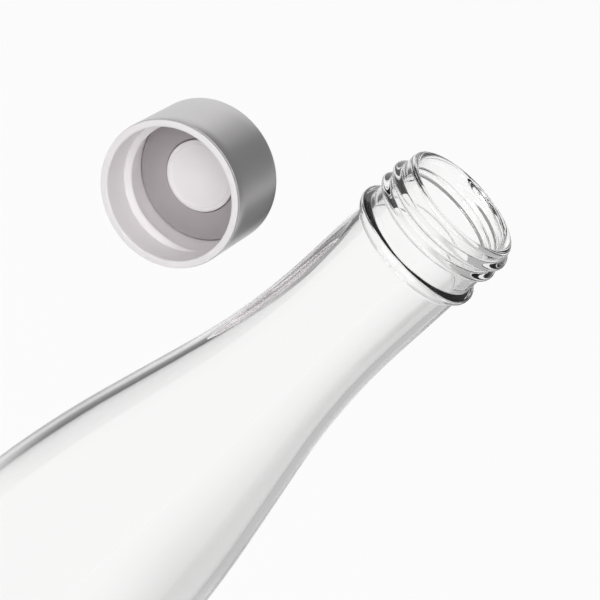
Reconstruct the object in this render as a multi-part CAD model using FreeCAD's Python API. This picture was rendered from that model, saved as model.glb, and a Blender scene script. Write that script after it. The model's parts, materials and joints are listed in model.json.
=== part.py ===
import FreeCAD, Part
import math
import os

from FreeCAD import Placement, Rotation, Vector

# A clear glass soda bottle with a screw-thread mouth, and its steel-clad screw cap taken off beside the neck.
# Millimetres and degrees. +Z runs up the bottle's axis, and the origin is the middle of its standing ring.

# Glass body
bottle_height = 270.0
body_radius = 38.0
body_wall = 3.2
heel_radius = 9.0
stand_width = 5.0
punt_depth = 4.0
base_thickness = 6.0
floor_round = 8.0

# Shoulder: a convex arc off the body, a straight cone, and a concave arc into the neck
shoulder_height = 153.0
cone_length = 30.0
flare_radius = 204.0

# Neck and mouth, with drops measured down from the top of the lip
neck_radius = 17.6
neck_drop = 41.0
bore_radius = 15.0
lip_radius = 17.45
bead_proud = 1.8
bead_face_drop = 17.0
bead_face_height = 0.4
bead_top_round = 0.7
bead_top_turn = 80.0
bead_top_fillet = 0.3
bead_under_round = 2.2
bead_under_fillet = 1.6

# Screw thread, right-handed, alike on the glass and in the cap; drops are from the lip, with the cap on
thread_pitch = 4.2
thread_proud = 1.55
thread_root_half = 1.35
thread_crest_half = 0.85
thread_crest_round = 0.7
thread_embed = 0.4
thread_fade = 50.0
thread_end_share = 0.1
thread_section_step = 15.0
glass_thread_drop = 2.75
glass_thread_top_angle = 120.0
glass_thread_turns = 1.95
cap_thread_drop = 9.85
cap_thread_start_angle = 30.0
cap_thread_turns = 0.85

# Screw cap
skirt_clearance = 0.35
skirt_overlap = 2.85
thread_clearance = 0.45
insert_wall = 1.7
insert_end = 2.9
rim_round = 0.6
flange_height = 0.8
flange_setback = 0.2
boss_radius = 10.85
boss_proud = 0.6
boss_edge = 0.4
dish_margin = 1.5
dish_depth = 0.3
bond_gap = 0.05
shell_wall = 0.6
crown_round = 1.2
seal_thickness = 2.2
seal_gap = 0.25

# Where the loose cap lies: its open rim's middle, and how far its closed end tips up from level
cap_side = 59.7
cap_back = 36.0
cap_drop = 79.0
cap_tilt = 5.8

# Sizes that follow from these
neck_wall = neck_radius - bore_radius
lip_round = (lip_radius - bore_radius) / 2
lip_middle = (lip_radius + bore_radius) / 2
bead_radius = neck_radius + bead_proud
bead_face_top = bottle_height - bead_face_drop
bead_face_foot = bead_face_top - bead_face_height
neck_end = bottle_height - neck_drop
body_top = neck_end - shoulder_height
floor_height = punt_depth + base_thickness
inner_body_radius = body_radius - body_wall
thread_radius = lip_radius + thread_proud
skirt_bore = max(bead_radius, thread_radius) + skirt_clearance
seal_depth = bead_face_drop + bead_face_height + skirt_overlap
groove_depth = seal_depth + seal_thickness
insert_radius = skirt_bore + insert_wall
insert_height = groove_depth + insert_end
shell_bore = insert_radius + bond_gap
shell_radius = shell_bore + shell_wall
shell_foot = flange_height + bond_gap
shell_ceiling = insert_height + bond_gap
cap_height = shell_ceiling + shell_wall


def at(radius, height):
    return Vector(radius, 0, height)


def line(start, end):
    return Part.LineSegment(start, end).toShape()


def arc(start, middle, end):
    return Part.Arc(start, middle, end).toShape()


def quarter(centre, radius, start_angle, end_angle):
    points = []
    for angle in (start_angle, (start_angle + end_angle) / 2, end_angle):
        turn = math.radians(angle)
        points.append(centre + at(radius * math.cos(turn), radius * math.sin(turn)))
    return arc(*points)


def joined(corners):
    return [line(a, b) for a, b in zip(corners, corners[1:])]


def turned(edges):
    face = Part.Face(Part.Wire(Part.__sortEdges__(edges)))
    return face.revolve(Vector(0, 0, 0), Vector(0, 0, 1), 360)


def shoulder(body_r, neck_r, flare_r):
    # The two arcs share the turn that the cone's slope needs, so all three pieces run on smoothly.
    widening = body_r - neck_r
    both_radii = (shoulder_height**2 + widening**2 - cone_length**2) / (2 * widening)
    shoulder_r = both_radii - flare_r
    slope = math.atan2(shoulder_height, both_radii - widening) - math.atan2(cone_length, both_radii)

    def off_body(turn):
        return at(body_r - shoulder_r * (1 - math.cos(turn)), body_top + shoulder_r * math.sin(turn))

    def off_neck(turn):
        return at(neck_r + flare_r * (1 - math.cos(turn)), neck_end - flare_r * math.sin(turn))

    cone_foot = off_body(slope)
    cone_head = off_neck(slope)
    lower = arc(off_body(0), off_body(slope / 2), cone_foot)
    upper = arc(cone_head, off_neck(slope / 2), off_neck(0))
    return [lower, line(cone_foot, cone_head), upper]


def thread_ridge(wall_radius, crest_radius, start_height, start_angle, turns):
    # One rounded ridge that climbs a right-hand helix and sinks into its wall at both ends.
    outward = math.copysign(1, crest_radius - wall_radius)
    root_radius = wall_radius - outward * thread_embed
    full_height = abs(crest_radius - root_radius)
    sweep = turns * 360
    section_count = max(2, round(sweep / thread_section_step)) + 1
    sections = []
    for index in range(section_count):
        travelled = sweep * index / (section_count - 1)
        ramp = min(1, travelled / thread_fade, (sweep - travelled) / thread_fade)
        rise = ramp * ramp * (3 - 2 * ramp)
        height = full_height * (thread_end_share + (1 - thread_end_share) * rise)
        crest = root_radius + outward * height
        flank = crest - outward * thread_crest_round * height / full_height
        middle = start_height + thread_pitch * travelled / 360
        low_root = at(root_radius, middle - thread_root_half)
        high_root = at(root_radius, middle + thread_root_half)
        low_flank = at(flank, middle - thread_crest_half)
        high_flank = at(flank, middle + thread_crest_half)
        edges = [
            line(low_root, low_flank),
            arc(low_flank, at(crest, middle), high_flank),
            line(high_flank, high_root),
            line(high_root, low_root),
        ]
        section = Part.Wire(edges)
        section.rotate(Vector(0, 0, 0), Vector(0, 0, 1), start_angle + travelled)
        sections.append(section)
    return Part.makeLoft(sections, True, False)


def transfer_bead():
    # From the neck, a hollow and a round up to the bead's straight face, then a rounded shelf back to the wall.
    under_both = bead_under_round + bead_under_fillet
    under_turn = math.degrees(math.acos(1 - bead_proud / under_both))
    foot = bead_face_foot - under_both * math.sin(math.radians(under_turn))
    top_turn = math.radians(bead_top_turn)
    top_centre = at(bead_radius - bead_top_round, bead_face_top)
    shelf_start = top_centre + at(bead_top_round * math.cos(top_turn), bead_top_round * math.sin(top_turn))
    shelf_end_radius = lip_radius + bead_top_fillet * (1 - math.cos(top_turn))
    shelf_end_height = shelf_start.z + (shelf_start.x - shelf_end_radius) / math.tan(top_turn)
    shelf_end = at(shelf_end_radius, shelf_end_height)
    root = at(lip_radius, shelf_end_height + bead_top_fillet * math.sin(top_turn))
    edges = [
        line(at(neck_radius, neck_end), at(neck_radius, foot)),
        quarter(at(neck_radius + bead_under_fillet, foot), bead_under_fillet, 180, 180 - under_turn),
        quarter(at(bead_radius - bead_under_round, bead_face_foot), bead_under_round, -under_turn, 0),
        line(at(bead_radius, bead_face_foot), at(bead_radius, bead_face_top)),
        quarter(top_centre, bead_top_round, 0, bead_top_turn),
        line(shelf_start, shelf_end),
        quarter(root + at(bead_top_fillet, 0), bead_top_fillet, 180 + bead_top_turn, 180),
        line(root, at(lip_radius, bottle_height - lip_round)),
    ]
    return edges


def glass_bottle():
    stand_outer = body_radius - heel_radius
    stand_inner = stand_outer - stand_width
    punt_radius = (stand_inner**2 + punt_depth**2) / (2 * punt_depth)
    half_turn = math.asin(stand_inner / punt_radius) / 2
    punt_middle = at(
        punt_radius * math.sin(half_turn),
        punt_depth - punt_radius * (1 - math.cos(half_turn)),
    )
    floor_edge = inner_body_radius - floor_round

    outside = [
        arc(at(0, punt_depth), punt_middle, at(stand_inner, 0)),
        line(at(stand_inner, 0), at(stand_outer, 0)),
        quarter(at(stand_outer, heel_radius), heel_radius, 270, 360),
        line(at(body_radius, heel_radius), at(body_radius, body_top)),
    ]
    outside += shoulder(body_radius, neck_radius, flare_radius)
    outside += transfer_bead()
    outside += [
        arc(
            at(lip_radius, bottle_height - lip_round),
            at(lip_middle, bottle_height),
            at(bore_radius, bottle_height - lip_round),
        ),
    ]
    inside = [line(at(bore_radius, bottle_height - lip_round), at(bore_radius, neck_end))]
    inside += shoulder(inner_body_radius, bore_radius, flare_radius + neck_wall)
    inside += [
        line(at(inner_body_radius, body_top), at(inner_body_radius, floor_height + floor_round)),
        quarter(at(floor_edge, floor_height + floor_round), floor_round, 270, 360),
        line(at(floor_edge, floor_height), at(0, floor_height)),
        line(at(0, floor_height), at(0, punt_depth)),
    ]
    climb = thread_pitch * glass_thread_turns
    ridge = thread_ridge(
        lip_radius,
        thread_radius,
        bottle_height - glass_thread_drop - climb,
        glass_thread_top_angle - 360 * glass_thread_turns,
        glass_thread_turns,
    )
    return turned(outside + inside).fuse(ridge)


# The cap's three pieces are drawn standing on their open rim, mouth down, on the same axis as the bottle.


def cap_shell():
    inner_round = crown_round - shell_wall
    inner_side = shell_bore - inner_round
    outer_side = shell_radius - crown_round
    corner = cap_height - crown_round
    edges = joined([at(shell_bore, corner), at(shell_bore, shell_foot), at(shell_radius, shell_foot),
                    at(shell_radius, corner)])
    edges += [quarter(at(outer_side, corner), crown_round, 0, 90)]
    edges += joined([at(outer_side, cap_height), at(0, cap_height), at(0, shell_ceiling),
                     at(inner_side, shell_ceiling)])
    edges += [quarter(at(inner_side, corner), inner_round, 0, 90)]
    return turned(edges)


def cap_insert():
    flange_radius = shell_radius - flange_setback
    crown_corner = crown_round - shell_wall
    boss_face = seal_depth - boss_proud
    dish_radius = boss_radius - dish_margin
    edges = joined([at(skirt_bore + rim_round, 0), at(flange_radius, 0), at(flange_radius, flange_height),
                    at(insert_radius, flange_height), at(insert_radius, insert_height - crown_corner)])
    edges += [quarter(at(insert_radius - crown_corner, insert_height - crown_corner), crown_corner, 0, 90)]
    edges += joined([at(insert_radius - crown_corner, insert_height), at(0, insert_height),
                     at(0, boss_face + dish_depth), at(dish_radius, boss_face + dish_depth),
                     at(dish_radius + dish_depth, boss_face), at(boss_radius - boss_edge, boss_face)])
    edges += [quarter(at(boss_radius - boss_edge, boss_face + boss_edge), boss_edge, 270, 360)]
    edges += joined([at(boss_radius, boss_face + boss_edge), at(boss_radius, groove_depth),
                     at(skirt_bore, groove_depth), at(skirt_bore, rim_round)])
    edges += [quarter(at(skirt_bore + rim_round, rim_round), rim_round, 180, 270)]
    ridge = thread_ridge(
        skirt_bore,
        lip_radius + thread_clearance,
        seal_depth - cap_thread_drop,
        cap_thread_start_angle,
        cap_thread_turns,
    )
    return turned(edges).fuse(ridge)


def seal_ring():
    inner = boss_radius + seal_gap
    outer = skirt_bore - seal_gap
    return turned(joined([at(inner, seal_depth), at(outer, seal_depth), at(outer, groove_depth),
                          at(inner, groove_depth), at(inner, seal_depth)]))


def taken_off(shape):
    rim_middle = Vector(-cap_side, cap_back, bottle_height - cap_drop)
    shape.Placement = Placement(rim_middle, Rotation(Vector(1, 0, 0), cap_tilt - 90))
    return shape


def main():
    os.makedirs("parts", exist_ok=True)
    pieces = {
        "glass_bottle": glass_bottle(),
        "cap_shell": taken_off(cap_shell()),
        "cap_insert": taken_off(cap_insert()),
        "seal_ring": taken_off(seal_ring()),
    }
    for name, shape in pieces.items():
        shape.exportStep("parts/" + name + ".step")
        print(name, "valid", shape.isValid(), "solids", len(shape.Solids), "volume", round(shape.Volume, 1))


main()
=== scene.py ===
import json
import math

import bmesh
import bpy
from mathutils import Matrix, Vector


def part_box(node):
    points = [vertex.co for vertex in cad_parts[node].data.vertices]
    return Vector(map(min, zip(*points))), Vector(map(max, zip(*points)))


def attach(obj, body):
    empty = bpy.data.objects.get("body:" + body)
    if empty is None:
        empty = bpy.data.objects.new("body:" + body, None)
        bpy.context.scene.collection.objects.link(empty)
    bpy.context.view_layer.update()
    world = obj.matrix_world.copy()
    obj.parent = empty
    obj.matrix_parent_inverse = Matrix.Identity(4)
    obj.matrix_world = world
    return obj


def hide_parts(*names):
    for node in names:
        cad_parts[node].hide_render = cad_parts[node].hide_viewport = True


# A clear glass soda bottle and its loose screw cap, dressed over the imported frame.
# Outlines are drawn in millimetres, radius against height, and come down to metres when a piece is placed.

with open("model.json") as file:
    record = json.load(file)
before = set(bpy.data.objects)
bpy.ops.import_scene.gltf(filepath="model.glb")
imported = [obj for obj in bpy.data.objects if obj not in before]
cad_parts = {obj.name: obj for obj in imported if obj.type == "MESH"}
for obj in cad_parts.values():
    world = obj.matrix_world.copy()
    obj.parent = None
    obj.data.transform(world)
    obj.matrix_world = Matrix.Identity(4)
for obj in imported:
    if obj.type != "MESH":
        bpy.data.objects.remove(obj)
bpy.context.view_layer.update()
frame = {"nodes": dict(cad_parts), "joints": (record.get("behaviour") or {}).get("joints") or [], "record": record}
mounts = {mount["name"]: mount for mount in frame["record"]["mounts"]}
joints = {joint["name"]: joint for joint in frame["joints"]}
perMetre = 1000  # millimetres
toMetres = Matrix.Scale(1 / perMetre, 4)
tinyGap = 0.001  # millimetres, and points nearer than this count as one
print("frame loaded:", ", ".join(sorted(frame["nodes"])))


class Pen:
    # draws one outline as a chain of edges in the XZ plane

    def __init__(self, mesh, radius, height):
        self.mesh = mesh
        self.tip = mesh.verts.new((radius, 0, height))

    def line(self, radius, height, rows=1):
        start = self.tip.co.copy()
        end = Vector((radius, 0, height))
        for row in range(rows):
            made = bmesh.ops.extrude_vert_indiv(self.mesh, verts=[self.tip])
            self.tip = made["verts"][0]
            self.tip.co = start.lerp(end, (row + 1) / rows)
        return self.tip

    def arc(self, radius, height, degrees, rows):
        # radius and height are the arc's centre, and a clockwise arc has a positive angle
        made = bmesh.ops.spin(
            self.mesh,
            geom=[self.tip],
            cent=(radius, 0, height),
            axis=(0, 1, 0),
            angle=math.radians(degrees),
            steps=rows,
        )
        self.tip = next(part for part in made["geom_last"] if isinstance(part, bmesh.types.BMVert))
        return self.tip


def soften(mesh, corners, size, segments):
    # small rounds on the sharp corners of an outline
    bmesh.ops.bevel(
        mesh,
        geom=corners,
        offset=size,
        offset_type="OFFSET",
        segments=segments,
        profile=0.5,
        affect="VERTICES",
        material=-1,
    )


def lathe(mesh, columns):
    bmesh.ops.spin(
        mesh,
        geom=mesh.verts[:] + mesh.edges[:],
        cent=(0, 0, 0),
        axis=(0, 0, 1),
        angle=math.tau,
        steps=columns,
        use_merge=True,
    )
    bmesh.ops.remove_doubles(mesh, verts=mesh.verts[:], dist=tinyGap)
    bmesh.ops.recalc_face_normals(mesh, faces=mesh.faces[:])


def threadRise(thread, angle, height):
    # how far the ridge stands off its wall here, in millimetres
    best = 0.0
    sweep = 360 * thread["turns"]
    travelled = (math.degrees(angle) - thread["startAngle"]) % 360
    while travelled < sweep:
        middle = thread["startHeight"] + thread["pitch"] * travelled / 360
        off = abs(height - middle) / thread["halfWidth"]
        if off < 1:
            ramp = min(1, travelled / thread["fade"], (sweep - travelled) / thread["fade"])
            eased = ramp * ramp * (3 - 2 * ramp)  # smooth at both ends of the fade
            best = max(best, thread["proud"] * eased * (1 - off**2) ** thread["softness"])
        travelled += 360
    return best


def raiseThread(mesh, thread, wallRadius, outward):
    for vert in mesh.verts:
        x, y, height = vert.co
        if abs(math.hypot(x, y) - wallRadius) < tinyGap:
            grown = 1 + outward * threadRise(thread, math.atan2(y, x), height) / wallRadius
            vert.co.x = x * grown
            vert.co.y = y * grown


def linkMesh(name, mesh):
    data = bpy.data.meshes.new(name)
    mesh.to_mesh(data)
    mesh.free()
    piece = bpy.data.objects.new(name, data)
    bpy.context.scene.collection.objects.link(piece)
    return piece


def makePiece(name, mesh, place, sharpAngle):
    mesh.transform(place @ toMetres)
    piece = linkMesh(name, mesh)
    piece.data.shade_smooth()
    piece.data.set_sharp_from_angle(angle=math.radians(sharpAngle))
    print("made", name, "with", len(piece.data.polygons), "faces")
    return piece


class Value:
    # one shader socket; sums and products on it add Math nodes

    def __init__(self, nodes, socket):
        self.nodes = nodes
        self.socket = socket

    def math(self, operation, first, second):
        return self.nodes.add("ShaderNodeMath", {"operation": operation}, {0: first, 1: second})

    def __add__(self, other):
        return self.math("ADD", self, other)

    def __radd__(self, other):
        return self.math("ADD", other, self)

    def __sub__(self, other):
        return self.math("SUBTRACT", self, other)

    def __rsub__(self, other):
        return self.math("SUBTRACT", other, self)

    def __mul__(self, other):
        return self.math("MULTIPLY", self, other)

    def __rmul__(self, other):
        return self.math("MULTIPLY", other, self)


class Nodes:
    # a node tree that is filled one call per node

    def __init__(self, tree):
        self.tree = tree
        tree.nodes.clear()

    def add(self, kind, settings=None, inputs=None, output=0):
        node = self.tree.nodes.new(kind)
        for name, setting in (settings or {}).items():
            if name == "stops":
                ramp = node.color_ramp.elements
                while len(ramp) < len(setting):
                    ramp.new(0.5)  # each stop gets its own place below
                for stop, (position, level) in zip(ramp, setting):
                    stop.position = position
                    stop.color = (level, level, level, 1)
            else:
                setattr(node, name, setting)
        for name, given in (inputs or {}).items():
            if isinstance(given, Value):
                self.tree.links.new(given.socket, node.inputs[name])
            else:
                node.inputs[name].default_value = given
        return Value(self, node.outputs[output] if node.outputs else None)


def newFinish(name):
    material = bpy.data.materials.new(name)
    material.use_nodes = True
    return material, Nodes(material.node_tree)


# glass bottle, in millimetres and degrees

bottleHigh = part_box("glass_bottle")[1]
bottleShape = {
    "height": bottleHigh.z * perMetre,
    "bodyRadius": bottleHigh.x * perMetre,
    "boreRadius": mounts["mouth"]["dims"]["r_mm"],
    "bodyWall": 3.2,
    "heelRadius": 9.0,
    "standWidth": 5.0,
    "standRound": 1.0,
    "puntDepth": 4.0,
    "baseThickness": 6.0,
    "floorRound": 8.0,
    "shoulderHeight": 153.0,
    "coneLength": 30.0,
    "flareRadius": 204.0,
    "neckRadius": 17.6,
    "neckDrop": 41.0,
    "lipRadius": 17.45,
    "beadProud": 1.8,
    "beadFaceDrop": 17.0,
    "beadFaceHeight": 0.4,
    "beadTopRound": 0.7,
    "beadTopTurn": 80.0,
    "beadTopFillet": 0.3,
    "beadUnderRound": 2.2,
    "beadUnderFillet": 1.6,
    "sharpAngle": 180,
    "columns": 384,
}
bottleRows = {
    "punt": 8,
    "stand": 2,
    "standRound": 4,
    "heel": 10,
    "body": 3,
    "shoulder": 14,
    "cone": 2,
    "flare": 12,
    "neck": 3,
    "beadUnderFillet": 6,
    "beadUnder": 8,
    "beadTop": 8,
    "shelf": 3,
    "shelfFillet": 4,
    "thread": 100,
    "lip": 16,
    "bore": 4,
    "floorRound": 8,
    "floor": 3,
}
glassThread = {
    "pitch": 4.2,
    "proud": mounts["neck_thread"]["dims"]["r_mm"] - bottleShape["lipRadius"],
    "halfWidth": 1.5,
    "softness": 1.3,
    "turns": 1.95,
    "fade": 50.0,
    "topDrop": 2.75,
    "topAngle": 120.0,
}
threadClimb = glassThread["pitch"] * glassThread["turns"]
glassThread["startHeight"] = bottleShape["height"] - glassThread["topDrop"] - threadClimb
glassThread["startAngle"] = glassThread["topAngle"] - 360 * glassThread["turns"]


def shoulderTurn(height, coneLength, wide, narrow, flareRadius):
    # the slope that lets two arcs and a straight cone run on smoothly, and the wide arc's radius
    widening = wide - narrow
    bothRadii = (height**2 + widening**2 - coneLength**2) / (2 * widening)
    slope = math.atan2(height, bothRadii - widening) - math.atan2(coneLength, bothRadii)
    return slope, bothRadii - flareRadius


def drawOutside(pen, size, rows):
    # from the middle of the punt up and over the lip
    neckEnd = size["height"] - size["neckDrop"]
    bodyTop = neckEnd - size["shoulderHeight"]
    standOuter = size["bodyRadius"] - size["heelRadius"]
    standInner = standOuter - size["standWidth"]
    puntRadius = (standInner**2 + size["puntDepth"] ** 2) / (2 * size["puntDepth"])
    puntTurn = math.degrees(math.asin(standInner / puntRadius))
    slope, shoulderRadius = shoulderTurn(
        size["shoulderHeight"],
        size["coneLength"],
        size["bodyRadius"],
        size["neckRadius"],
        size["flareRadius"],
    )
    coneHead = neckEnd - size["flareRadius"] * math.sin(slope)
    coneTopRadius = size["neckRadius"] + size["flareRadius"] * (1 - math.cos(slope))
    standEdge = pen.arc(0, size["puntDepth"] - puntRadius, puntTurn, rows["punt"])
    pen.line(standOuter, 0, rows["stand"])
    pen.arc(standOuter, size["heelRadius"], -90, rows["heel"])
    pen.line(size["bodyRadius"], bodyTop, rows["body"])
    pen.arc(size["bodyRadius"] - shoulderRadius, bodyTop, -math.degrees(slope), rows["shoulder"])
    pen.line(coneTopRadius, coneHead, rows["cone"])
    pen.arc(size["neckRadius"] + size["flareRadius"], neckEnd, math.degrees(slope), rows["flare"])

    # transfer bead: rounded underside, upright face, nearly level shelf
    beadRadius = size["neckRadius"] + size["beadProud"]
    faceTop = size["height"] - size["beadFaceDrop"]
    faceFoot = faceTop - size["beadFaceHeight"]
    underBoth = size["beadUnderRound"] + size["beadUnderFillet"]
    underTurn = math.acos(1 - size["beadProud"] / underBoth)
    beadFoot = faceFoot - underBoth * math.sin(underTurn)
    topTurn = math.radians(size["beadTopTurn"])
    filletMiddle = size["neckRadius"] + size["beadUnderFillet"]
    pen.line(size["neckRadius"], beadFoot, rows["neck"])
    pen.arc(filletMiddle, beadFoot, math.degrees(underTurn), rows["beadUnderFillet"])
    pen.arc(beadRadius - size["beadUnderRound"], faceFoot, -math.degrees(underTurn), rows["beadUnder"])
    pen.line(beadRadius, faceTop)
    topMiddle = beadRadius - size["beadTopRound"]
    shelf = pen.arc(topMiddle, faceTop, -size["beadTopTurn"], rows["beadTop"]).co.copy()
    shelfEnd = size["lipRadius"] + size["beadTopFillet"] * (1 - math.cos(topTurn))
    shelfTop = shelf.z + (shelf.x - shelfEnd) / math.tan(topTurn)
    rootHeight = shelfTop + size["beadTopFillet"] * math.sin(topTurn)
    rootMiddle = size["lipRadius"] + size["beadTopFillet"]
    pen.line(shelfEnd, shelfTop, rows["shelf"])
    pen.arc(rootMiddle, rootHeight, size["beadTopTurn"], rows["shelfFillet"])

    # wall that carries the thread, then the lip
    lipRound = (size["lipRadius"] - size["boreRadius"]) / 2
    pen.line(size["lipRadius"], size["height"] - lipRound, rows["thread"])
    pen.arc(size["boreRadius"] + lipRound, size["height"] - lipRound, -180, rows["lip"])
    return standEdge


def drawInside(pen, size, rows):
    # from the lip down to the middle of the floor
    neckEnd = size["height"] - size["neckDrop"]
    bodyTop = neckEnd - size["shoulderHeight"]
    innerBody = size["bodyRadius"] - size["bodyWall"]
    innerFlare = size["flareRadius"] + size["neckRadius"] - size["boreRadius"]
    floorHeight = size["puntDepth"] + size["baseThickness"]
    floorEdge = floorHeight + size["floorRound"]
    slope, shoulderRadius = shoulderTurn(
        size["shoulderHeight"],
        size["coneLength"],
        innerBody,
        size["boreRadius"],
        innerFlare,
    )
    coneFoot = bodyTop + shoulderRadius * math.sin(slope)
    coneFootRadius = innerBody - shoulderRadius * (1 - math.cos(slope))
    pen.line(size["boreRadius"], neckEnd, rows["bore"])
    pen.arc(size["boreRadius"] + innerFlare, neckEnd, -math.degrees(slope), rows["flare"])
    pen.line(coneFootRadius, coneFoot, rows["cone"])
    pen.arc(innerBody - shoulderRadius, bodyTop, math.degrees(slope), rows["shoulder"])
    pen.line(innerBody, floorEdge, rows["body"])
    pen.arc(innerBody - size["floorRound"], floorEdge, 90, rows["floorRound"])
    pen.line(0, floorHeight, rows["floor"])


bottleMesh = bmesh.new()
bottlePen = Pen(bottleMesh, 0, bottleShape["puntDepth"])
standEdge = drawOutside(bottlePen, bottleShape, bottleRows)
drawInside(bottlePen, bottleShape, bottleRows)
soften(bottleMesh, [standEdge], bottleShape["standRound"], bottleRows["standRound"])
lathe(bottleMesh, bottleShape["columns"])
raiseThread(bottleMesh, glassThread, bottleShape["lipRadius"], 1)
glassBottle = makePiece("glassBottle", bottleMesh, Matrix.Identity(4), bottleShape["sharpAngle"])
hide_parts("glass_bottle")
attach(glassBottle, "bottle")


# screw cap, in millimetres and degrees: drawn mouth down on its rim, then laid where the frame has it

capTurn = joints["cap_turn"]
capAxis = Vector(capTurn["axis"]).normalized()
capSide = Vector((1, 0, 0))
capFacing = Matrix((capSide, capAxis.cross(capSide), capAxis)).transposed()
capPlace = Matrix.Translation(Vector(capTurn["pos_m"])) @ capFacing.to_4x4()

capShape = {
    "skirtBore": 19.75,
    "insertWall": 1.7,
    "insertEnd": 2.9,
    "sealDepth": 20.25,
    "sealThickness": 2.2,
    "sealGap": 0.25,
    "sealRound": 0.25,
    "rimRound": 0.6,
    "flangeHeight": 0.8,
    "flangeSetback": 0.2,
    "flangeRound": 0.25,
    "bossRadius": 10.85,
    "bossProud": 0.6,
    "bossEdge": 0.4,
    "dishMargin": 1.5,
    "dishDepth": 0.3,
    "dishRound": 0.1,
    "bondGap": 0.05,
    "shellWall": 0.6,
    "shellEdgeRound": 0.12,
    "crownRound": 1.2,
    "sharpAngle": 40,
    "columns": 200,
}
capRows = {
    "ceiling": 4,
    "innerCrown": 5,
    "innerSide": 3,
    "outerSide": 6,
    "crown": 10,
    "crownTop": 6,
    "dish": 4,
    "bossEdge": 6,
    "skirt": 110,
    "rim": 8,
    "fineRound": 3,
    "edgeRound": 4,
}
capThread = {
    "pitch": glassThread["pitch"],
    "proud": 1.85,
    "halfWidth": 1.5,
    "softness": 1.1,
    "turns": 0.85,
    "fade": 50.0,
    "startHeight": 10.4,
    "startAngle": 30.0,
}
capShape["insertRadius"] = capShape["skirtBore"] + capShape["insertWall"]
capShape["grooveDepth"] = capShape["sealDepth"] + capShape["sealThickness"]
capShape["insertHeight"] = capShape["grooveDepth"] + capShape["insertEnd"]
capShape["shellBore"] = capShape["insertRadius"] + capShape["bondGap"]
capShape["shellRadius"] = capShape["shellBore"] + capShape["shellWall"]
capShape["shellFoot"] = capShape["flangeHeight"] + capShape["bondGap"]
capShape["shellCeiling"] = capShape["insertHeight"] + capShape["bondGap"]
capShape["height"] = capShape["shellCeiling"] + capShape["shellWall"]


def drawShell(mesh, size, rows):
    corner = size["height"] - size["crownRound"]
    innerRound = size["crownRound"] - size["shellWall"]
    pen = Pen(mesh, 0, size["shellCeiling"])
    pen.line(size["shellBore"] - innerRound, size["shellCeiling"], rows["ceiling"])
    pen.arc(size["shellBore"] - innerRound, corner, 90, rows["innerCrown"])
    innerFoot = pen.line(size["shellBore"], size["shellFoot"], rows["innerSide"])
    outerFoot = pen.line(size["shellRadius"], size["shellFoot"])
    pen.line(size["shellRadius"], corner, rows["outerSide"])
    pen.arc(size["shellRadius"] - size["crownRound"], corner, -90, rows["crown"])
    pen.line(0, size["height"], rows["crownTop"])
    soften(mesh, [innerFoot, outerFoot], size["shellEdgeRound"], rows["fineRound"])


def drawInsert(mesh, size, rows):
    crownCorner = size["crownRound"] - size["shellWall"]
    crownHeight = size["insertHeight"] - crownCorner
    flangeRadius = size["shellRadius"] - size["flangeSetback"]
    bossFace = size["sealDepth"] - size["bossProud"]
    bossFlat = size["bossRadius"] - size["bossEdge"]
    dishFace = bossFace + size["dishDepth"]
    dishRadius = size["bossRadius"] - size["dishMargin"]
    pen = Pen(mesh, 0, dishFace)
    dishFoot = pen.line(dishRadius, dishFace, rows["dish"])
    dishEdge = pen.line(dishRadius + size["dishDepth"], bossFace)
    pen.line(bossFlat, bossFace)
    pen.arc(bossFlat, bossFace + size["bossEdge"], -90, rows["bossEdge"])
    pen.line(size["bossRadius"], size["grooveDepth"])
    pen.line(size["skirtBore"], size["grooveDepth"])
    pen.line(size["skirtBore"], size["rimRound"], rows["skirt"])
    pen.arc(size["skirtBore"] + size["rimRound"], size["rimRound"], -90, rows["rim"])
    rimEdge = pen.line(flangeRadius, 0)
    flangeTop = pen.line(flangeRadius, size["flangeHeight"])
    pen.line(size["insertRadius"], size["flangeHeight"])
    pen.line(size["insertRadius"], crownHeight, rows["innerSide"])
    pen.arc(size["insertRadius"] - crownCorner, crownHeight, -90, rows["innerCrown"])
    pen.line(0, size["insertHeight"], rows["ceiling"])
    soften(mesh, [rimEdge, flangeTop], size["flangeRound"], rows["edgeRound"])
    soften(mesh, [dishFoot, dishEdge], size["dishRound"], rows["fineRound"])


def drawSeal(mesh, size, rows):
    inner = size["bossRadius"] + size["sealGap"]
    outer = size["skirtBore"] - size["sealGap"]
    pen = Pen(mesh, inner, size["sealDepth"])
    first = pen.tip
    corners = [
        first,
        pen.line(outer, size["sealDepth"]),
        pen.line(outer, size["grooveDepth"]),
        pen.line(inner, size["grooveDepth"]),
    ]
    mesh.edges.new((pen.tip, first))
    soften(mesh, corners, size["sealRound"], rows["edgeRound"])


shellMesh = bmesh.new()
drawShell(shellMesh, capShape, capRows)
lathe(shellMesh, capShape["columns"])
capShell = makePiece("capShell", shellMesh, capPlace, capShape["sharpAngle"])
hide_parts("cap_shell")
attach(capShell, "cap")

insertMesh = bmesh.new()
drawInsert(insertMesh, capShape, capRows)
lathe(insertMesh, capShape["columns"])
raiseThread(insertMesh, capThread, capShape["skirtBore"], -1)
capInsert = makePiece("capInsert", insertMesh, capPlace, capShape["sharpAngle"])
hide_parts("cap_insert")
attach(capInsert, "cap")

sealMesh = bmesh.new()
drawSeal(sealMesh, capShape, capRows)
lathe(sealMesh, capShape["columns"])
sealRing = makePiece("sealRing", sealMesh, capPlace, capShape["sharpAngle"])
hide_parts("seal_ring")
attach(sealRing, "seal")


# finishes, with pattern scales per metre and bump heights in metres

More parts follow.
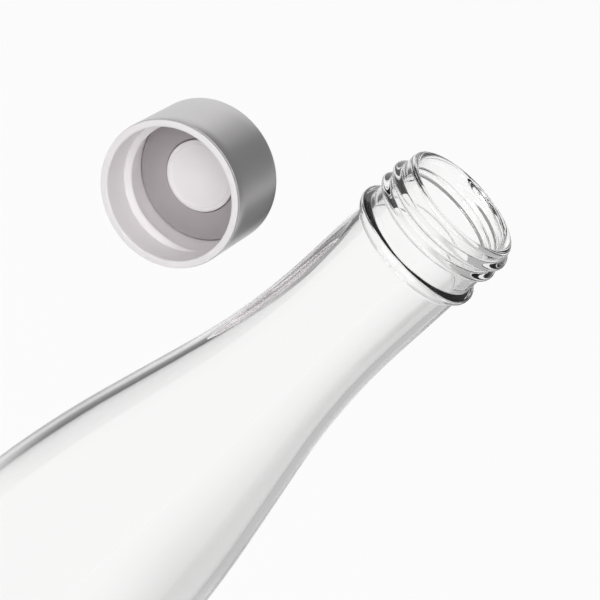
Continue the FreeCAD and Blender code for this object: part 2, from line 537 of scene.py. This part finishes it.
glassFinish = {
    "colour": (0.98, 0.98, 0.978, 1),
    "index": 1.5,
    "waveStretch": (1, 1, 0.16),
    "waveScale": 55,
    "waveDetail": 1.0,
    "waveStrength": 0.04,
    "waveHeight": 0.0004,
    "shadowTint": (0.9, 0.9, 0.9, 1),
}
steelFinish = {
    "colour": (0.6, 0.59, 0.59, 1),
    "grainStretch": (60, 60, 9000),
    "grainDetail": 2.0,
    "grainStrength": 0.08,
    "grainHeight": 0.00002,
    "cloudScale": 90.0,
    "cloudDetail": 2.0,
    "roughness": 0.3,
    "grainRoughness": 0.08,
    "cloudRoughness": 0.06,
}
plasticFinish = {
    "darkTone": (0.88, 0.85, 0.859, 1),
    "lightTone": (0.92, 0.89, 0.899, 1),
    "cloudScale": 120.0,
    "cloudDetail": 2.0,
    "skinScale": 1600.0,
    "skinDetail": 1.0,
    "skinStrength": 0.15,
    "skinHeight": 0.00003,
    "roughness": 0.38,
    "cloudRoughness": 0.1,
}
siliconeFinish = {
    "darkTone": (0.39, 0.357, 0.367, 1),
    "lightTone": (0.45, 0.417, 0.427, 1),
    "cloudScale": 150.0,
    "cloudDetail": 3.0,
    "roughness": 0.5,
    "cloudRoughness": 0.15,
}


def addNoise(nodes, where, scale, detail):
    return nodes.add("ShaderNodeTexNoise", {}, {"Vector": where, "Scale": scale, "Detail": detail})


def addBump(nodes, height, strength, distance):
    return nodes.add("ShaderNodeBump", {}, {"Strength": strength, "Distance": distance, "Height": height})


def addTones(nodes, factor, look):
    return nodes.add(
        "ShaderNodeMix",
        {"data_type": "RGBA"},
        {"Factor": factor, "A": look["darkTone"], "B": look["lightTone"]},
        output="Result",
    )


def clearGlass(look):
    material, nodes = newFinish("clearGlass")
    where = nodes.add("ShaderNodeTexCoord", output="Object")
    drawn = nodes.add("ShaderNodeMapping", {}, {"Vector": where, "Scale": look["waveStretch"]})
    waves = addNoise(nodes, drawn, look["waveScale"], look["waveDetail"])
    glass = nodes.add(
        "ShaderNodeBsdfPrincipled",
        {},
        {
            "Base Color": look["colour"],
            "Roughness": 0.0,
            "IOR": look["index"],
            "Transmission Weight": 1.0,
            "Normal": addBump(nodes, waves, look["waveStrength"], look["waveHeight"]),
        },
    )
    lampRay = nodes.add("ShaderNodeLightPath", output="Is Shadow Ray")  # lamps shine through the glass
    clear = nodes.add("ShaderNodeBsdfTransparent", {}, {"Color": look["shadowTint"]})
    shown = nodes.add("ShaderNodeMixShader", {}, {0: lampRay, 1: glass, 2: clear})
    nodes.add("ShaderNodeOutputMaterial", {}, {"Surface": shown})
    return material


def satinSteel(look, place):
    material, nodes = newFinish("satinSteel")
    where = nodes.add("ShaderNodeTexCoord", output="Object")
    local = nodes.add(
        "ShaderNodeMapping",
        {"vector_type": "TEXTURE"},
        {"Vector": where, "Location": place.translation, "Rotation": place.to_euler()},
    )
    stretched = nodes.add("ShaderNodeMapping", {}, {"Vector": local, "Scale": look["grainStretch"]})
    grain = addNoise(nodes, stretched, 1.0, look["grainDetail"])
    cloud = addNoise(nodes, local, look["cloudScale"], look["cloudDetail"])
    steel = nodes.add(
        "ShaderNodeBsdfPrincipled",
        {},
        {
            "Base Color": look["colour"],
            "Metallic": 1.0,
            "Roughness": look["roughness"] + look["grainRoughness"] * grain + look["cloudRoughness"] * cloud,
            "Normal": addBump(nodes, grain, look["grainStrength"], look["grainHeight"]),
        },
    )
    nodes.add("ShaderNodeOutputMaterial", {}, {"Surface": steel})
    return material


def whitePlastic(look):
    material, nodes = newFinish("whitePlastic")
    where = nodes.add("ShaderNodeTexCoord", output="Object")
    cloud = addNoise(nodes, where, look["cloudScale"], look["cloudDetail"])
    skin = addNoise(nodes, where, look["skinScale"], look["skinDetail"])
    plastic = nodes.add(
        "ShaderNodeBsdfPrincipled",
        {},
        {
            "Base Color": addTones(nodes, cloud, look),
            "Roughness": look["roughness"] + look["cloudRoughness"] * cloud,
            "Normal": addBump(nodes, skin, look["skinStrength"], look["skinHeight"]),
        },
    )
    nodes.add("ShaderNodeOutputMaterial", {}, {"Surface": plastic})
    return material


def greySilicone(look):
    material, nodes = newFinish("greySilicone")
    where = nodes.add("ShaderNodeTexCoord", output="Object")
    cloud = addNoise(nodes, where, look["cloudScale"], look["cloudDetail"])
    silicone = nodes.add(
        "ShaderNodeBsdfPrincipled",
        {},
        {
            "Base Color": addTones(nodes, cloud, look),
            "Roughness": look["roughness"] + look["cloudRoughness"] * cloud,
        },
    )
    nodes.add("ShaderNodeOutputMaterial", {}, {"Surface": silicone})
    return material


glassBottle.data.materials.append(clearGlass(glassFinish))
capShell.data.materials.append(satinSteel(steelFinish, capPlace))
capInsert.data.materials.append(whitePlastic(plasticFinish))
sealRing.data.materials.append(greySilicone(siliconeFinish))
print("finishes set")


# floor, light and camera, in metres

studio = {
    "floorHalf": 4.0,
    "floorTone": (0.8, 0.8, 0.8, 1),
    "floorGlow": 0.95,
    "worldTone": 0.26,
    "wallTop": 0.12,
    "wallEnd": 0.32,
    "cardWhite": 0.98,
    "cardFoot": 0.08,
    "twoWalls": 3.5,  # a ray has crossed more glass faces than this after two walls
    "aim": (0, 0, 0.2),
}
cards = {
    "leftCard": {
        "seenBy": "oneWall",
        "place": (-0.138, 0.074, 0.13),
        "facing": (0.106, -0.106, 0),
        "width": 0.21,
        "height": 0.26,
        "tones": [(0.0, 0.06), (0.72, 0.06), (0.82, 0.6), (1.0, 0.98)],
    },
    "rightCard": {
        "seenBy": "oneWall",
        "place": (0.122, 0.09, 0.13),
        "facing": (-0.106, -0.106, 0),
        "width": 0.255,
        "height": 0.26,
        "tones": [(0.0, 0.98), (0.1, 0.45), (1.0, 0.5)],
    },
    "veilCard": {
        "seenBy": "twoWalls",
        "place": (0.0742, 0.053, 0.13),
        "facing": (-0.106, -0.106, 0),
        "width": 0.2,
        "height": 0.26,
        "tones": [(0.0, 0.98), (0.08, 0.9), (0.165, 0.76), (0.23, 0.63), (0.4, 0.63), (1.0, 0.98)],
    },
    "backCard": {
        "seenBy": "mirror",
        "place": (-0.47, 0.925, 0.46),
        "facing": (0.41, -0.875, -0.26),
        "width": 0.75,
        "height": 0.7,
        "tones": [(0.0, 1.1), (1.0, 1.1)],
    },
    "shadeCard": {
        "seenBy": "mirror",
        "place": (0.09, 0.42, 0.12),
        "facing": (-0.15, -0.37, 0.05),
        "width": 0.3,
        "height": 0.24,
        "tones": [(0.0, 0.06), (1.0, 0.06)],
    },
}
lamps = {
    "keySoftbox": {"place": (-0.35, -1.15, 0.7), "size": 0.9, "watts": 7.1},
    "fillSoftbox": {"place": (0.55, -1.0, 0.75), "size": 0.8, "watts": 4.7},
}
view = {
    "place": (0.0237, -0.58005, 0.49185),
    "ahead": (-0.0528, 0.9025, -0.4275),
    "roll": 47.01,
    "lens": 145.88,
    "sensor": 36.0,
    "clipStart": 0.01,
}


def seenRay(nodes):
    # 1 for rays that show the surroundings to the eye, directly, mirrored or through glass
    seen = nodes.add("ShaderNodeLightPath", output="Is Camera Ray")
    for name in ("Is Glossy Ray", "Is Transmission Ray"):
        other = nodes.add("ShaderNodeLightPath", output=name)
        seen = nodes.add("ShaderNodeMath", {"operation": "MAXIMUM"}, {0: seen, 1: other})
    return seen


def paleFloor():
    material, nodes = newFinish("paleFloor")
    paper = nodes.add("ShaderNodeBsdfDiffuse", {}, {"Color": studio["floorTone"]})
    glow = nodes.add("ShaderNodeEmission", {}, {"Strength": 1.0})
    share = studio["floorGlow"] * seenRay(nodes)
    both = nodes.add("ShaderNodeMixShader", {}, {0: share, 1: paper, 2: glow})
    nodes.add("ShaderNodeOutputMaterial", {}, {"Surface": both})
    return material


floorMesh = bmesh.new()
bmesh.ops.create_grid(floorMesh, x_segments=1, y_segments=1, size=studio["floorHalf"])
floor = linkMesh("floor", floorMesh)
floor.data.materials.append(paleFloor())


def studioWorld():
    # white low down, like a wall behind the floor, fading to a darker ceiling
    world = bpy.data.worlds.new("studioWorld")
    world.use_nodes = True
    nodes = Nodes(world.node_tree)
    where = nodes.add("ShaderNodeTexCoord", output="Generated")
    rise = nodes.add("ShaderNodeSeparateXYZ", {}, {0: where}, output="Z")
    wall = nodes.add(
        "ShaderNodeMapRange",
        {"interpolation_type": "SMOOTHSTEP"},
        {"Value": rise, "From Min": studio["wallEnd"], "From Max": studio["wallTop"]},
    )
    level = studio["worldTone"] + (1 - studio["worldTone"]) * wall * seenRay(nodes)
    sky = nodes.add("ShaderNodeBackground", {}, {"Color": (1, 1, 1, 1), "Strength": level})
    nodes.add("ShaderNodeOutputWorld", {}, {"Surface": sky})
    return world


bpy.context.scene.world = studioWorld()


def cardFinish(name, card, stand):
    # tones run across the card and fade to white at its foot
    finish, nodes = newFinish(name)
    where = nodes.add("ShaderNodeTexCoord", output="Object")
    local = nodes.add(
        "ShaderNodeMapping",
        {"vector_type": "TEXTURE"},
        {
            "Vector": where,
            "Location": stand.translation,
            "Rotation": stand.to_euler(),
            "Scale": (card["width"], 1, 1),
        },
    )
    across = nodes.add("ShaderNodeSeparateXYZ", {}, {0: local}) + 0.5  # 0 at one side, 1 at the other
    shade = nodes.add("ShaderNodeValToRGB", {"stops": card["tones"]}, {0: across})
    rise = nodes.add("ShaderNodeSeparateXYZ", {}, {0: where}, output="Z")
    foot = nodes.add(
        "ShaderNodeMapRange",
        {"interpolation_type": "SMOOTHSTEP"},
        {"Value": rise, "From Max": studio["cardFoot"]},
    )
    level = studio["cardWhite"] + (shade - studio["cardWhite"]) * foot
    shown = nodes.add("ShaderNodeEmission", {}, {"Color": level, "Strength": 1.0})
    if card["seenBy"] != "mirror":
        faces = nodes.add("ShaderNodeLightPath", output="Transmission Depth")
        oneWall = nodes.add("ShaderNodeMath", {"operation": "LESS_THAN"}, {0: faces, 1: studio["twoWalls"]})
        seen = oneWall if card["seenBy"] == "oneWall" else 1 - oneWall
        clear = nodes.add("ShaderNodeBsdfTransparent")
        shown = nodes.add("ShaderNodeMixShader", {}, {0: seen, 1: clear, 2: shown})
    nodes.add("ShaderNodeOutputMaterial", {}, {"Surface": shown})
    return finish


def addCard(name, card):
    # only mirrored rays, rays through one wall of glass or rays through two walls see a card
    panel = bmesh.new()
    bmesh.ops.create_grid(panel, x_segments=1, y_segments=1, size=0.5)  # one metre square
    bmesh.ops.scale(panel, vec=(card["width"], card["height"], 1), verts=panel.verts[:])
    facing = Vector(card["facing"]).to_track_quat("Z", "Y").to_matrix()
    stand = Matrix.Translation(Vector(card["place"])) @ facing.to_4x4()
    panel.transform(stand)
    piece = linkMesh(name, panel)
    piece.data.materials.append(cardFinish(name, card, stand))
    piece.visible_camera = False
    piece.visible_diffuse = False
    piece.visible_shadow = False
    piece.visible_glossy = card["seenBy"] == "mirror"
    piece.visible_transmission = card["seenBy"] != "mirror"


def addLamp(name, lamp):
    light = bpy.data.lights.new(name, "AREA")
    light.shape = "SQUARE"
    light.size = lamp["size"]
    light.energy = lamp["watts"]
    softbox = bpy.data.objects.new(name, light)
    softbox.location = lamp["place"]
    towards = Vector(studio["aim"]) - Vector(lamp["place"])
    softbox.rotation_euler = towards.to_track_quat("-Z", "Y").to_euler()
    bpy.context.scene.collection.objects.link(softbox)


for name, card in cards.items():
    addCard(name, card)
for name, lamp in lamps.items():
    addLamp(name, lamp)

lens = bpy.data.cameras.new("photoCamera")
lens.lens = view["lens"]
lens.sensor_width = view["sensor"]
lens.clip_start = view["clipStart"]
camera = bpy.data.objects.new("photoCamera", lens)
ahead = Vector(view["ahead"]).to_track_quat("-Z", "Y").to_matrix()
roll = Matrix.Rotation(math.radians(view["roll"]), 3, "Z")
camera.matrix_world = Matrix.Translation(Vector(view["place"])) @ (ahead @ roll).to_4x4()
bpy.context.scene.collection.objects.link(camera)
bpy.context.scene.camera = camera
bpy.context.scene.view_settings.view_transform = "Standard"
print("floor, lamps and camera set")
